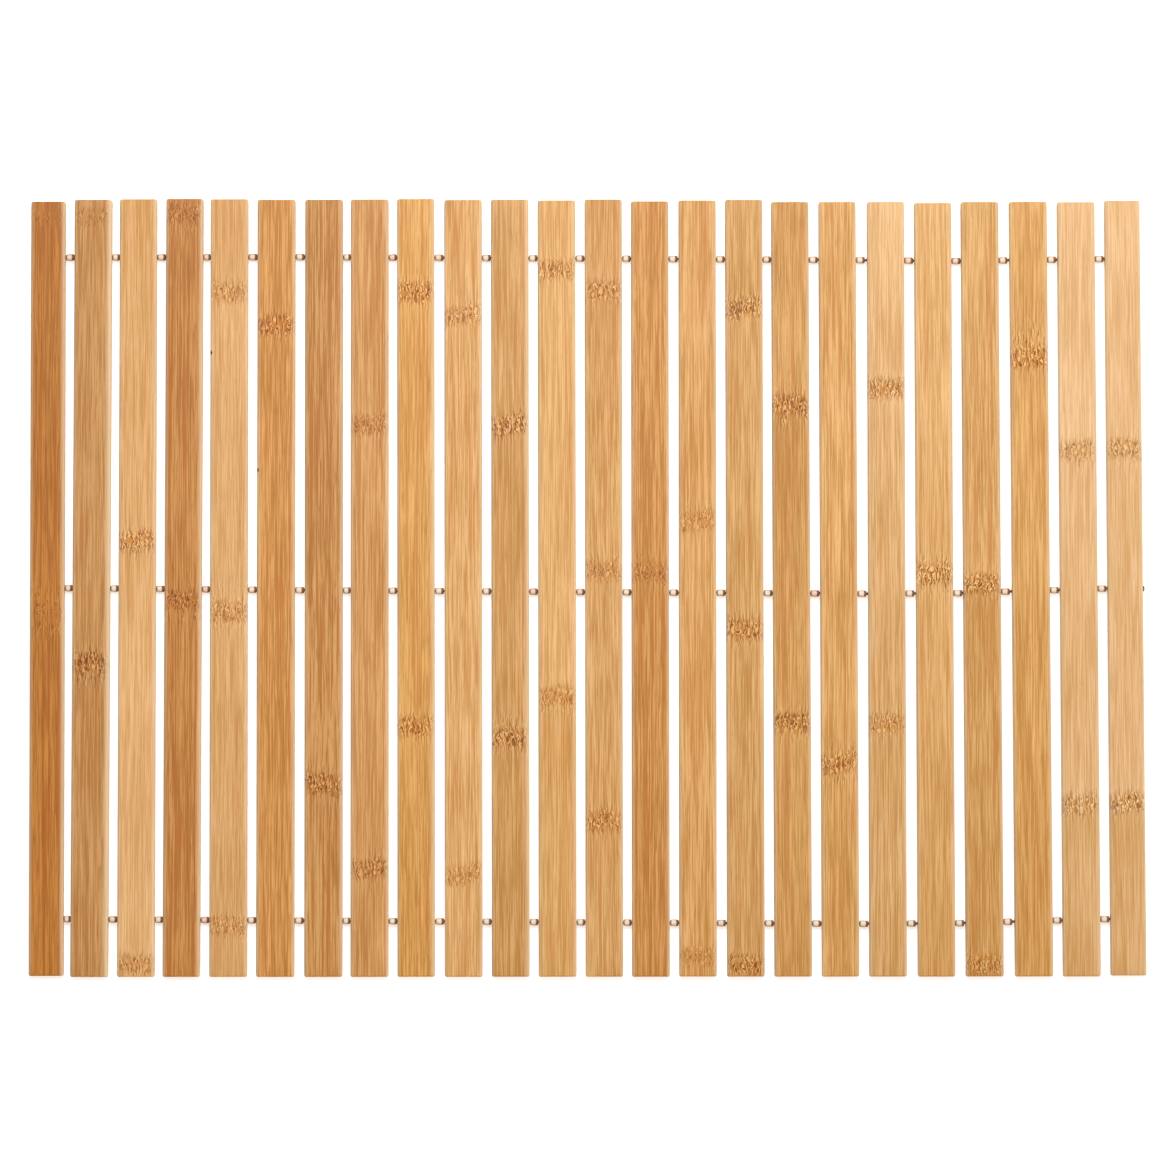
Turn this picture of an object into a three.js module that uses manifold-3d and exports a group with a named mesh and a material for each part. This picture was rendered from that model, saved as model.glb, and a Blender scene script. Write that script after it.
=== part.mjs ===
// A slatted bamboo mat, laid flat. Upright slats lie side by side, strung on three cords,
// with a small wooden bead on each cord in every gap.
// Millimetres. +X runs along the mat, +Y along the slats and +Z up. The origin is under
// the middle of the mat, on the surface that it lies on.

import * as THREE from 'three';
import { mergeVertices } from 'three/addons/utils/BufferGeometryUtils.js';
import Module from 'manifold-3d';

const wasm = await Module();
wasm.setup();

// The slats
const slatThickness = 8;
const slatLength = 500;      // as cut: the ends in the table differ from it by a millimetre or two
const edgeRounding = 1.2;    // along the upper and lower edges
const edgeRoundingSteps = 2;
const cornerRounding = 1.4;  // of the four corners, seen from above
const cornerSteps = 1;

// The holes through the slats, and what is strung in them
const boreHeight = slatThickness / 2;
const boreRadius = 1.5;
const boreOvershoot = 2;
const cordRadius = 1;
const roundSides = 8;
const clearance = 0.3;       // between pieces that touch on the real mat
const sameVertex = 1e-4;     // corners closer than this are one

// A bead is a short barrel
const beadLongest = 5.6;
const beadRadius = 2.3;
const beadEndRadius = 1.7;
const beadShoulder = 0.28;   // the share of its length over which each end narrows

// A knot ends each cord, in a wider seat cut into the outer face of an end slat
const knotLength = 4.2;
const knotSeatRadius = 2.8;
const knotShape = [
  { along: 0, radius: 0 },
  { along: 0, radius: 1.2 },
  { along: 1.1, radius: 2.1 },
  { along: 3.1, radius: 2.1 },
  { along: knotLength, radius: 1.4 },
  { along: knotLength, radius: cordRadius },
];

// The slats from left to right. gap is the space up to the next slat, half way along them.
// lean is how far the upper end stands to the right of the lower end. top and bottom are
// the distances of the two ends from the middle line of the mat.
const slats = [
  { tone: 'amber', width: 22.1, gap: 5.3, lean: -1.6, top: 250.7, bottom: 248.9 },
  { tone: 'toast', width: 24.1, gap: 5.5, lean: -0.1, top: 251.9, bottom: 249.6 },
  { tone: 'honey', width: 23.9, gap: 5.7, lean: -0.8, top: 252.3, bottom: 249.5 },
  { tone: 'amber', width: 23.9, gap: 5.4, lean: -0.2, top: 252.5, bottom: 249.5 },
  { tone: 'honey', width: 24.2, gap: 6.0, lean: -1.2, top: 252.3, bottom: 249.5 },
  { tone: 'toast', width: 24.4, gap: 6.4, lean: -0.9, top: 251.9, bottom: 249.5 },
  { tone: 'toast', width: 24.4, gap: 5.2, lean: -1.0, top: 251.9, bottom: 249.5 },
  { tone: 'toast', width: 24.3, gap: 5.7, lean: -1.1, top: 252.1, bottom: 249.5 },
  { tone: 'golden', width: 24.0, gap: 6.4, lean: -1.4, top: 252.4, bottom: 249.4 },
  { tone: 'honey', width: 24.2, gap: 6.0, lean: -1.2, top: 251.8, bottom: 249.5 },
  { tone: 'honey', width: 24.2, gap: 5.9, lean: -1.2, top: 252.0, bottom: 249.4 },
  { tone: 'golden', width: 24.3, gap: 5.9, lean: -1.0, top: 251.5, bottom: 249.4 },
  { tone: 'honey', width: 24.1, gap: 5.8, lean: -0.7, top: 252.1, bottom: 249.4 },
  { tone: 'toast', width: 24.2, gap: 6.3, lean: -0.5, top: 250.9, bottom: 249.4 },
  { tone: 'honey', width: 24.1, gap: 6.3, lean: 0.1, top: 251.5, bottom: 249.3 },
  { tone: 'golden', width: 24.1, gap: 6.0, lean: -0.6, top: 251.9, bottom: 249.3 },
  { tone: 'honey', width: 24.1, gap: 6.4, lean: -1.2, top: 250.5, bottom: 249.3 },
  { tone: 'golden', width: 24.0, gap: 6.9, lean: -0.9, top: 250.5, bottom: 249.3 },
  { tone: 'pale', width: 24.0, gap: 6.8, lean: -0.2, top: 250.6, bottom: 249.3 },
  { tone: 'golden', width: 24.0, gap: 6.5, lean: -0.6, top: 249.9, bottom: 249.3 },
  { tone: 'golden', width: 24.2, gap: 7.2, lean: -1.2, top: 250.5, bottom: 249.2 },
  { tone: 'golden', width: 24.3, gap: 6.6, lean: -1.5, top: 250.6, bottom: 249.2 },
  { tone: 'pale', width: 24.1, gap: 6.5, lean: -1.2, top: 250.4, bottom: 249.2 },
  { tone: 'pale', width: 22.8, gap: 0, lean: -1.2, top: 251.4, bottom: 248.6 },
];

const firstSlat = slats[0];
const lastSlat = slats[slats.length - 1];

const tones = {
  amber: 0xc4864a,
  toast: 0xd29c62,
  honey: 0xdfac74,
  golden: 0xe6b47a,
  pale: 0xecc395,
};

// The three cords. rightKnotProud is how far the knot at the right stands out of its slat:
// below zero it lies inside its seat.
const knotRecess = 0.4;
const cords = [
  { name: 'upper', rightKnotProud: -knotRecess },
  { name: 'middle', rightKnotProud: 1.5 },
  { name: 'lower', rightKnotProud: -knotRecess },
];

// The cords sag a little towards the right: how far each lies from the middle line of the
// mat, at a few places along it
const cordPlaces = [
  { x: -334, upper: 214.7, middle: 0.4, lower: -212.5 },
  { x: -185, upper: 215.0, middle: -0.9, lower: -213.4 },
  { x: 25, upper: 213.9, middle: -2.3, lower: -214.7 },
  { x: 177, upper: 213.0, middle: -3.2, lower: -215.5 },
  { x: 238, upper: 212.4, middle: -2.9, lower: -215.1 },
  { x: 331, upper: 213.7, middle: 0.1, lower: -212.5 },
];

const cordColour = 0x5b3a26;

function sum(values) {
  return values.reduce((total, value) => total + value, 0);
}

// Gives every slat its left and right side and its middle, half way along it
function placeSlats() {
  let x = -sum(slats.map((slat) => slat.width + slat.gap)) / 2;
  for (const slat of slats) {
    slat.left = x;
    slat.right = x + slat.width;
    slat.middle = x + slat.width / 2;
    x = slat.right + slat.gap;
  }
}

// How far a slat's side has moved along X, at a distance y from the middle line
function leanAt(slat, y) {
  return slat.lean * y / slatLength;
}

// A column's value at x, between two rows of a table that is sorted by x
function valueAt(rows, column, x) {
  const nearest = THREE.MathUtils.clamp(x, rows[0].x, rows[rows.length - 1].x);
  const after = Math.max(1, rows.findIndex((row) => row.x >= nearest));
  const a = rows[after - 1];
  const b = rows[after];
  return THREE.MathUtils.mapLinear(nearest, a.x, b.x, a[column], b[column]);
}

// A cord bends only in the middle of a gap, inside its bead, and is straight through a slat
function cordBends(name) {
  const middles = slats.slice(0, -1).map((slat) => slat.right + slat.gap / 2);
  const bends = [firstSlat.left, ...middles, lastSlat.right];
  return bends.map((x) => ({ x, y: valueAt(cordPlaces, name, x) }));
}

// Turns a closed geometry into a solid that can be cut
function solidOf(geometry) {
  const plain = geometry.clone();
  plain.deleteAttribute('normal');
  plain.deleteAttribute('uv');
  const merged = mergeVertices(plain, sameVertex);
  const mesh = new wasm.Mesh({
    numProp: 3,
    vertProperties: new Float32Array(merged.attributes.position.array),
    triVerts: new Uint32Array(merged.index.array),
  });
  return new wasm.Manifold(mesh);
}

function geometryOf(solid) {
  const mesh = solid.getMesh();
  const geometry = new THREE.BufferGeometry();
  geometry.setAttribute('position', new THREE.BufferAttribute(new Float32Array(mesh.vertProperties), 3));
  geometry.setIndex(new THREE.BufferAttribute(new Uint32Array(mesh.triVerts), 1));
  geometry.computeVertexNormals();
  return geometry;
}

// A round bar between two points
function roundBar(start, end, radius) {
  const way = new THREE.Vector3().subVectors(end, start);
  const bar = new THREE.CylinderGeometry(radius, radius, way.length(), roundSides);
  const turn = new THREE.Quaternion().setFromUnitVectors(new THREE.Vector3(0, 1, 0), way.clone().normalize());
  bar.applyQuaternion(turn);
  bar.translate((start.x + end.x) / 2, (start.y + end.y) / 2, (start.z + end.z) / 2);
  return bar;
}

// An undrilled slat about its own middle, lying on the surface, all its edges rounded
function slatBlank(width, length) {
  const w = width / 2;
  const l = length / 2;
  const r = cornerRounding;
  const outline = new THREE.Shape();
  outline.absarc(w - r, l - r, r, 0, Math.PI / 2);
  outline.absarc(-w + r, l - r, r, Math.PI / 2, Math.PI);
  outline.absarc(-w + r, -l + r, r, Math.PI, 1.5 * Math.PI);
  outline.absarc(w - r, -l + r, r, 1.5 * Math.PI, 2 * Math.PI);
  const blank = new THREE.ExtrudeGeometry(outline, {
    depth: slatThickness - 2 * edgeRounding,
    curveSegments: cornerSteps,
    bevelThickness: edgeRounding,
    bevelSize: edgeRounding,
    bevelOffset: -edgeRounding,
    bevelSegments: edgeRoundingSteps,
  });
  return blank.translate(0, 0, edgeRounding);
}

// The cut for one cord through one slat
function bore(cord, slat) {
  const ends = [slat.left - boreOvershoot, slat.right + boreOvershoot];
  const [start, end] = ends.map((x) => new THREE.Vector3(x, valueAt(cord.bends, 'y', x), boreHeight));
  return roundBar(start, end, boreRadius);
}

// The wider cut for a knot, from outside an end slat's face to a little past the knot.
// inward is 1 at the left end of the mat and -1 at its right end.
function knotSeat(cord, slat, face, inward, proud) {
  const y = valueAt(cord.bends, 'y', face);
  const outside = face + leanAt(slat, y);
  const depth = knotLength - proud + clearance;
  const start = new THREE.Vector3(outside - inward * boreOvershoot, y, boreHeight);
  const end = new THREE.Vector3(outside + inward * depth, y, boreHeight);
  return roundBar(start, end, knotSeatRadius);
}

function slatMesh(slat, number) {
  const mesh = new THREE.Mesh(undefined, new THREE.MeshStandardMaterial({
    color: tones[slat.tone],
    roughness: 0.45,
    metalness: 0,
  }));
  mesh.name = `slat_${String(number).padStart(2, '0')}`;
  mesh.position.set(slat.middle, (slat.top - slat.bottom) / 2, 0);
  mesh.rotation.z = -slat.lean / slatLength;
  mesh.updateMatrix();
  const toSlat = mesh.matrix.clone().invert();

  let solid = solidOf(slatBlank(slat.width, slat.top + slat.bottom));
  for (const cord of cords) {
    const cuts = [bore(cord, slat)];
    if (slat === firstSlat) cuts.push(knotSeat(cord, slat, slat.left, 1, -knotRecess));
    if (slat === lastSlat) cuts.push(knotSeat(cord, slat, slat.right, -1, cord.rightKnotProud));
    for (const cut of cuts) solid = solid.subtract(solidOf(cut.applyMatrix4(toSlat)));
  }
  mesh.geometry = geometryOf(solid);
  return mesh;
}

// The outline of a knot, from its outer end inwards
function knotOutline(outer, inward) {
  return knotShape.map((point) => new THREE.Vector2(point.radius, outer + inward * point.along));
}

// The outline of the bead in the gap after a slat. It sits close to that slat.
function beadOutline(slat, next, y) {
  const from = slat.right + leanAt(slat, y) + clearance;
  const upTo = next.left + leanAt(next, y) - clearance;
  const length = Math.min(beadLongest, upTo - from);
  const shoulder = beadShoulder * length;
  return [
    new THREE.Vector2(cordRadius, from),
    new THREE.Vector2(beadEndRadius, from),
    new THREE.Vector2(beadRadius, from + shoulder),
    new THREE.Vector2(beadRadius, from + length - shoulder),
    new THREE.Vector2(beadEndRadius, from + length),
    new THREE.Vector2(cordRadius, from + length),
  ];
}

// A cord with its beads and its two knots, as one round body that follows the cord's bends
function cordMesh(cord) {
  const leftY = valueAt(cord.bends, 'y', firstSlat.left);
  const rightY = valueAt(cord.bends, 'y', lastSlat.right);
  const leftEnd = firstSlat.left + leanAt(firstSlat, leftY) + knotRecess;
  const rightEnd = lastSlat.right + leanAt(lastSlat, rightY) + cord.rightKnotProud;
  const beads = slats.slice(0, -1).map((slat, i) => {
    const gapMiddle = slat.right + slat.gap / 2;
    return beadOutline(slat, slats[i + 1], valueAt(cord.bends, 'y', gapMiddle));
  });
  const outline = [...knotOutline(leftEnd, 1), ...beads.flat(), ...knotOutline(rightEnd, -1).reverse()];

  const geometry = new THREE.LatheGeometry(outline, roundSides);
  geometry.rotateZ(-Math.PI / 2);
  const position = geometry.attributes.position;
  for (let i = 0; i < position.count; i += 1) {
    position.setY(i, position.getY(i) + valueAt(cord.bends, 'y', position.getX(i)));
  }
  geometry.translate(0, 0, boreHeight);
  geometry.computeVertexNormals();

  const mesh = new THREE.Mesh(geometry, new THREE.MeshStandardMaterial({
    color: cordColour,
    roughness: 0.8,
    metalness: 0,
  }));
  mesh.name = `cord_${cord.name}`;
  return mesh;
}

placeSlats();
for (const cord of cords) cord.bends = cordBends(cord.name);

const mat = new THREE.Group();
slats.forEach((slat, i) => mat.add(slatMesh(slat, i + 1)));
cords.forEach((cord) => mat.add(cordMesh(cord)));

// Stands the middle of the whole mat over the origin
mat.updateMatrixWorld(true);
const middle = new THREE.Box3().setFromObject(mat).getCenter(new THREE.Vector3());
mat.position.set(-middle.x, -middle.y, 0);

export default mat;
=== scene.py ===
# Dresses the slatted bamboo mat: rounded and drilled slats with the fibres and joints of bamboo,
# turned wooden beads, twisted cords with a knot at each end, and a plain pale stage.
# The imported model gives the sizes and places. Metres, +X along the mat, +Y along the slats, +Z up.

import math
from typing import NamedTuple

import bpy
from bpy.props import FloatProperty, FloatVectorProperty, PointerProperty
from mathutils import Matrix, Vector


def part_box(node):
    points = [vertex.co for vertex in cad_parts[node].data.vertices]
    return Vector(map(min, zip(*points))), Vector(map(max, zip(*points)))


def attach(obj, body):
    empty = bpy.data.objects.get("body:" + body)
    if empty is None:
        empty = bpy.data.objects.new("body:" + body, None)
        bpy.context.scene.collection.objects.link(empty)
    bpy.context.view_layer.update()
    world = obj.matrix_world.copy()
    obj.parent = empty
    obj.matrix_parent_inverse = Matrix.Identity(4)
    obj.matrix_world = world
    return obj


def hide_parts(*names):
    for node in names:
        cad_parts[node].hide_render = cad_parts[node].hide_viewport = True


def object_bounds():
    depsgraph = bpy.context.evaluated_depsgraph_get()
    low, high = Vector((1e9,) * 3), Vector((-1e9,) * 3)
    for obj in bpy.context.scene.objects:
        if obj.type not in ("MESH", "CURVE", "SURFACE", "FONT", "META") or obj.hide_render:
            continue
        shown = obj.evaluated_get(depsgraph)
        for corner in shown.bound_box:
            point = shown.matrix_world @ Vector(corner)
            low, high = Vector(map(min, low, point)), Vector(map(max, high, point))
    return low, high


bl_info = {
    "name": "Slatted Bamboo Mat",
    "version": (1, 0, 0),
    "blender": (4, 5, 0),
    "location": "3D View > Sidebar > Mat",
    "description": "Dresses a slatted bamboo mat with its slats, beads and cords, on a plain stage",
    "category": "Add Mesh",
}

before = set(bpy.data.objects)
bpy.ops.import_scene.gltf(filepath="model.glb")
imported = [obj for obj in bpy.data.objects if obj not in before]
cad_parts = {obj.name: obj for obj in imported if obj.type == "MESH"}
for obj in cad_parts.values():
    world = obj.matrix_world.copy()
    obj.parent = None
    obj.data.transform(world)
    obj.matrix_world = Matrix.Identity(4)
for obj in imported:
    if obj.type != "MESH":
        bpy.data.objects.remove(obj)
CAD_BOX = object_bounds()

MM = 0.001
BODY = "root"
SLAT_NAMES = sorted(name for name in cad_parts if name.startswith("slat_"))
CORD_NAMES = ("cord_upper", "cord_middle", "cord_lower")


# What each slat looks like. tone names one of the five tones of bamboo, shade makes it lighter
# or darker, and warmth more orange. fibres is how clearly its fibres stand out, streaks how
# strongly brown ones show. The sixth number is the width in mm of the painted highlight along its
# right edge, where the light from the right catches it, and rise how much lighter its upper end is
# than its middle, of 255.

class SlatLook(NamedTuple):
    tone: str
    shade: float
    warmth: float
    fibres: float
    streaks: float
    highlight_width: float
    # width in mm of the painted highlight along the right edge
    rise: float


SLAT_LOOKS = (
    SlatLook("amber", 0.90, 0.25, 0.93, 0.8, 1.6, -7),
    SlatLook("toast", 0.95, -0.08, 0.82, 0.6, 2.4, -1),
    SlatLook("honey", 1.12, -0.12, 0.60, 0.3, 1.3, -9),
    SlatLook("amber", 1.13, -0.20, 1.00, 0.8, 1.7, -5),
    SlatLook("honey", 1.07, -0.10, 0.62, 0.4, 1.2, 1),
    SlatLook("toast", 1.04, 0.10, 1.10, 0.7, 1.2, 0),
    SlatLook("toast", 0.94, 0.02, 1.30, 0.9, 1.2, -13),
    SlatLook("toast", 1.10, -0.12, 0.90, 0.5, 1.2, -5),
    SlatLook("golden", 0.97, 0.15, 0.80, 0.7, 1.7, 4),
    SlatLook("honey", 1.07, -0.04, 0.90, 0.5, 1.2, -5),
    SlatLook("honey", 0.92, 0.05, 0.80, 0.5, 1.8, 2),
    SlatLook("golden", 1.07, -0.08, 0.72, 0.4, 1.2, 2),
    SlatLook("honey", 0.99, 0.02, 0.85, 0.6, 1.2, -5),
    SlatLook("toast", 1.01, 0.10, 1.10, 0.8, 1.2, 7),
    SlatLook("honey", 0.99, 0.08, 0.95, 0.5, 1.2, 0),
    SlatLook("golden", 0.95, -0.02, 0.85, 0.5, 1.2, 2),
    SlatLook("honey", 0.87, 0.18, 0.92, 0.6, 1.2, 0),
    SlatLook("golden", 1.01, 0.00, 0.94, 0.6, 1.2, 2),
    SlatLook("pale", 0.94, 0.08, 0.78, 0.3, 1.2, 12),
    SlatLook("golden", 1.08, -0.10, 0.72, 0.4, 1.2, 10),
    SlatLook("golden", 0.97, 0.00, 0.90, 0.6, 1.2, 10),
    SlatLook("golden", 0.98, 0.08, 0.85, 0.5, 1.2, 5),
    SlatLook("pale", 1.05, -0.04, 0.56, 0.2, 1.2, 8),
    SlatLook("pale", 1.06, -0.04, 0.56, 0.2, 1.2, 5),
)


# The joints where the bamboo cane had its rings, in millimetres. place is the distance up from
# the middle of the mat, and up and down how far the marks trail off each way. step is how much
# lighter the bamboo is above the joint than below it, of 255, and slant how much higher the joint
# stands at the slat's right edge than at its left. strength goes for all of a joint's marks, and
# dashes for the short ones in the middle of it.

class Joint(NamedTuple):
    slat: int
    place: float
    strength: float
    up: float
    down: float
    step: float
    slant: float = 0.0
    dashes: float = 1.0


JOINTS = (
    Joint(1, 238, 0.45, 10, 8, 0, dashes=0.25),
    Joint(1, -16, 0.75, 30, 38, 9, dashes=0.25),
    Joint(2, 240, 0.50, 12, 12, 0),
    Joint(2, -50, 1.25, 18, 26, 12),
    Joint(3, 29, 1.05, 14, 16, 3),
    Joint(3, -243, 0.75, 14, 6, 0),
    Joint(4, 243, 0.80, 10, 26, 6),
    Joint(4, -8, 0.95, 16, 30, 2),
    Joint(5, 190, 0.75, 18, 16, -6),
    Joint(5, -16, 0.75, 26, 22, 1),
    Joint(5, -219, 0.70, 18, 14, -3),
    Joint(6, 169, 1.10, 16, 18, 5, slant=2),
    Joint(7, -126, 1.10, 18, 22, 5),
    Joint(8, 105, 0.75, 16, 18, 0),
    Joint(8, -182, 0.85, 18, 16, 5),
    Joint(9, 190, 1.15, 16, 16, 1),
    Joint(9, -90, 0.95, 18, 18, 1),
    Joint(10, 175, 0.80, 16, 14, -2),
    Joint(10, -185, 0.70, 16, 16, -1),
    Joint(11, 104, 1.20, 16, 16, 3),
    Joint(11, -98, 1.00, 26, 18, 1),
    Joint(12, 205, 0.85, 16, 14, 1),
    Joint(12, -71, 0.75, 16, 24, 12),
    Joint(13, 190, 0.85, 16, 16, 8),
    Joint(13, 10, 0.75, 20, 18, 3),
    Joint(13, -151, 0.90, 16, 16, 3),
    Joint(14, 9, 0.70, 20, 22, 0),
    Joint(15, 42, 0.70, 22, 16, -6),
    Joint(15, -238, 0.60, 16, 10, 0),
    Joint(16, 180, 1.15, 16, 14, -9),
    Joint(16, -28, 1.10, 18, 18, -2),
    Joint(16, -243, 1.05, 14, 8, 0),
    Joint(17, 117, 1.25, 18, 24, 15),
    Joint(17, -88, 1.05, 18, 18, -2),
    Joint(18, -114, 0.95, 22, 24, 1, slant=4),
    Joint(19, 128, 1.00, 16, 16, 3),
    Joint(19, -89, 0.85, 16, 16, -1),
    Joint(20, 8, 1.05, 22, 24, 5),
    Joint(21, 1, 1.15, 18, 18, 19),
    Joint(21, -243, 0.90, 18, 8, 0),
    Joint(22, 148, 1.15, 38, 16, -1),
    Joint(23, 88, 0.70, 14, 22, 4),
    Joint(23, -139, 0.80, 16, 16, 12, slant=2),
    Joint(24, 88, 0.75, 14, 22, 3),
    Joint(24, -139, 0.95, 16, 16, 12, slant=2),
)


# Two slats have a small dark nick on their left edge: how far up from the middle of the mat
NICK_PLACES = {5: 151, 6: 75}


# The layers of fibre in the bamboo. across and along are how often each changes in a
# millimetre. Between low and high the noise turns from one tone to the other.

class FibreLayer(NamedTuple):
    name: str
    across: float
    along: float
    detail: float
    low: float
    high: float


FIBRE_LAYERS = (
    FibreLayer("Fine", 1.45, 0.024, 2.0, 0.40, 0.60),
    FibreLayer("Hair", 2.60, 0.030, 1.0, 0.34, 0.66),
    FibreLayer("Broad", 0.25, 0.006, 1.0, 0.34, 0.66),
    FibreLayer("Drift", 0.03, 0.011, 1.0, 0.34, 0.66),
    FibreLayer("Streak", 0.55, 0.007, 1.0, 0.55, 0.64),
    FibreLayer("Dash", 1.30, 0.055, 1.0, 0.58, 0.67),
    FibreLayer("Pore", 2.20, 0.120, 1.0, 0.66, 0.76),
)

# How far each layer moves the tone of the bamboo, its roughness and its height
TONE_WEIGHTS = {"Fine": 0.56, "Hair": 0.15, "Broad": 0.13, "Drift": 0.16}
ROUGHNESS_WEIGHTS = {"Hair": 0.10, "Pore": 0.2}
HEIGHT_WEIGHTS = {"Fine": 0.6, "Pore": -1.0, "Hair": 0.4}


# Settings that a user would change

def length_setting(name, description, default, low=0.0):
    return FloatProperty(name=name, description=description, default=default, min=low, unit="LENGTH")


def colour_setting(name, description, *default):
    return FloatVectorProperty(name=name, description=description, default=default, size=3,
                               min=0, max=1, subtype="COLOR_GAMMA")


def amount_setting(name, description, default, high):
    return FloatProperty(name=name, description=description, default=default, min=0, max=high)


class MatSizes(bpy.types.PropertyGroup):
    edge_rounding: length_setting("Edge Rounding", "Radius of every edge of a slat", 1.2 * MM, 0.2 * MM)
    hole_radius: length_setting("Hole Radius", "Radius of the holes for the cords", 1.5 * MM)
    knot_seat_radius: length_setting("Knot Seat Radius", "Radius of the mouth for a knot", 2.8 * MM)
    knot_length: length_setting("Knot Length", "Length of a knot along its cord", 4.2 * MM)
    clearance: length_setting("Clearance", "Space between pieces that touch", 0.3 * MM)
    bead_length: length_setting("Bead Length", "Length of a bead, where there is room for it", 5.6 * MM)
    bead_radius: length_setting("Bead Radius", "Radius of a bead at its middle", 2.3 * MM)
    bead_end_radius: length_setting("Bead End Radius", "Radius of a bead at its ends", 1.9 * MM)
    bead_hole_radius: length_setting("Bead Hole Radius", "Radius of the hole through a bead", 1.15 * MM)
    cord_radius: length_setting("Cord Radius", "Radius of a cord over its three strands", 1.0 * MM)
    cord_twist: length_setting("Cord Twist", "Length of one full turn of the strands", 5.0 * MM)


class MatColours(bpy.types.PropertyGroup):
    amber: colour_setting("Amber", "The darkest bamboo", 0.757, 0.500, 0.220)
    toast: colour_setting("Toast", "Browned bamboo", 0.812, 0.580, 0.312)
    honey: colour_setting("Honey", "Light brown bamboo", 0.862, 0.648, 0.385)
    golden: colour_setting("Golden", "Yellow bamboo", 0.868, 0.652, 0.372)
    pale: colour_setting("Pale", "The lightest bamboo", 0.898, 0.705, 0.465)
    # Painted highlight along the right edges of the slats, where the light from the right catches them
    edge_highlight: colour_setting("Edge Highlight", "Cream of the painted highlight along the right edges", 0.935, 0.820, 0.660)
    # Painted shade along the left edges of the slats, which face away from the light from the right
    edge_shade: colour_setting("Edge Shade", "Pale grey brown along the left edges", 0.815, 0.765, 0.650)
    nick: colour_setting("Nick", "Dark brown of the nicks", 0.25, 0.16, 0.10)
    bead: colour_setting("Bead", "Pale wood of the beads", 0.950, 0.890, 0.820)
    # Brown of the bead ends, partly end grain and partly painted shade, also used for the painted shade
    # where a bead's side turns away
    bead_end_and_shade: colour_setting("Bead End And Shade", "Brown of the ends of the beads", 0.520, 0.310, 0.100)
    cord: colour_setting("Cord", "Brown of the cords", 0.460, 0.310, 0.230)


class MatFinish(bpy.types.PropertyGroup):
    fibre_contrast: amount_setting("Fibre Contrast", "How far light and dark fibres differ", 1.5, 3)
    joint_contrast: amount_setting("Joint Contrast", "How dark the marks at the joints are", 1.0, 2)
    roughness: amount_setting("Roughness", "Roughness of the lacquered bamboo", 0.42, 1)
    relief: length_setting("Relief", "Height of the fibres above the pores", 0.06 * MM)


class MatStage(bpy.types.PropertyGroup):
    camera_distance: length_setting("Camera Distance", "From the camera to the mat", 3.4)
    camera_tilt: FloatProperty(
        name="Camera Tilt", description="How far the camera leans back from straight above",
        default=math.radians(3.6), unit="ROTATION")
    camera_lens: amount_setting("Lens", "Focal length, in millimetres", 161.7, 500)
    floor_colour: colour_setting("Floor", "Colour of the floor", 0.985, 0.985, 0.985)
    floor_size: length_setting("Floor Size", "Length of each side of the floor", 80.0)
    floor_glow: amount_setting("Floor Glow", "The floor's own light, to keep the gaps white", 0.55, 5)
    sky: amount_setting("Soft Light", "Light from all round", 0.32, 5)
    key: amount_setting("Main Light", "Light from above the far ends of the slats", 0.64, 5)
    side: amount_setting("Side Light", "Light from the right", 0.16, 5)


# Small helpers for node trees

def new_tree(name, family, inputs, outputs):
    """A node group with its sockets, named by kind. Gives the group, what goes in and what comes out."""
    tree = bpy.data.node_groups.new(name, family + "NodeTree")
    for way, sockets in (("INPUT", inputs), ("OUTPUT", outputs)):
        for kind, socket_names in sockets.items():
            for socket_name in socket_names:
                tree.interface.new_socket(socket_name, in_out=way, socket_type="NodeSocket" + kind)
    given = tree.nodes.new("NodeGroupInput").outputs
    result = tree.nodes.new("NodeGroupOutput").inputs
    return tree, given, result


def add_node(tree, kind, inputs=None, **settings):
    """A node with its settings, its inputs set to values or linked from other nodes' outputs"""
    node = tree.nodes.new(kind)
    for name, value in settings.items():
        setattr(node, name, value)
    for key, value in (inputs or {}).items():
        if isinstance(value, bpy.types.NodeSocket):
            tree.links.new(value, node.inputs[key])
        else:
            node.inputs[key].default_value = value
    return node


def calculator(tree):
    """A function that adds a Math node to the tree and gives its output"""
    def calculate(operation, *terms, clamp=False):
        node = add_node(tree, "ShaderNodeMath", dict(enumerate(terms)),
                        operation=operation, use_clamp=clamp)
        return node.outputs[0]
    return calculate


def vector_calculator(tree):
    """A function that adds a Vector Math node to the tree and gives its output"""
    def calculate(operation, *terms):
        node = add_node(tree, "ShaderNodeVectorMath", dict(enumerate(terms)), operation=operation)
        return node.outputs["Vector"]
    return calculate


def weighted(tree, layers, weights, total=0.0):
    """The total with the layers added to it, each times its weight"""
    calc = calculator(tree)
    for name, weight in weights.items():
        total = calc("MULTIPLY_ADD", layers[name], weight, total)
    return total


def split(tree, vector):
    """The X, Y and Z of a vector"""
    return add_node(tree, "ShaderNodeSeparateXYZ", {0: vector}).outputs


def scaled(tree, vector, factor):
    """The vector times a number"""
    node = add_node(tree, "ShaderNodeVectorMath", {0: vector, "Scale": factor}, operation="SCALE")
    return node.outputs["Vector"]


def vector_of(tree, x, y, z):
    return add_node(tree, "ShaderNodeCombineXYZ", {0: x, 1: y, 2: z}).outputs[0]


def noise_at(tree, place, detail=1.0):
    """Noise from about 0.2 to 0.8, changing once in each unit of place"""
    node = add_node(tree, "ShaderNodeTexNoise",
                    {"Vector": place, "Scale": 1.0, "Detail": detail, "Roughness": 0.6})
    return node.outputs[0]


def ramp(tree, value, low, high, start=0.0, end=1.0):
    """Turns softly from start to end as value goes from low to high"""
    node = add_node(tree, "ShaderNodeMapRange",
                    {0: value, 1: low, 2: high, 3: start, 4: end}, interpolation_type="SMOOTHSTEP")
    return node.outputs[0]


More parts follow.
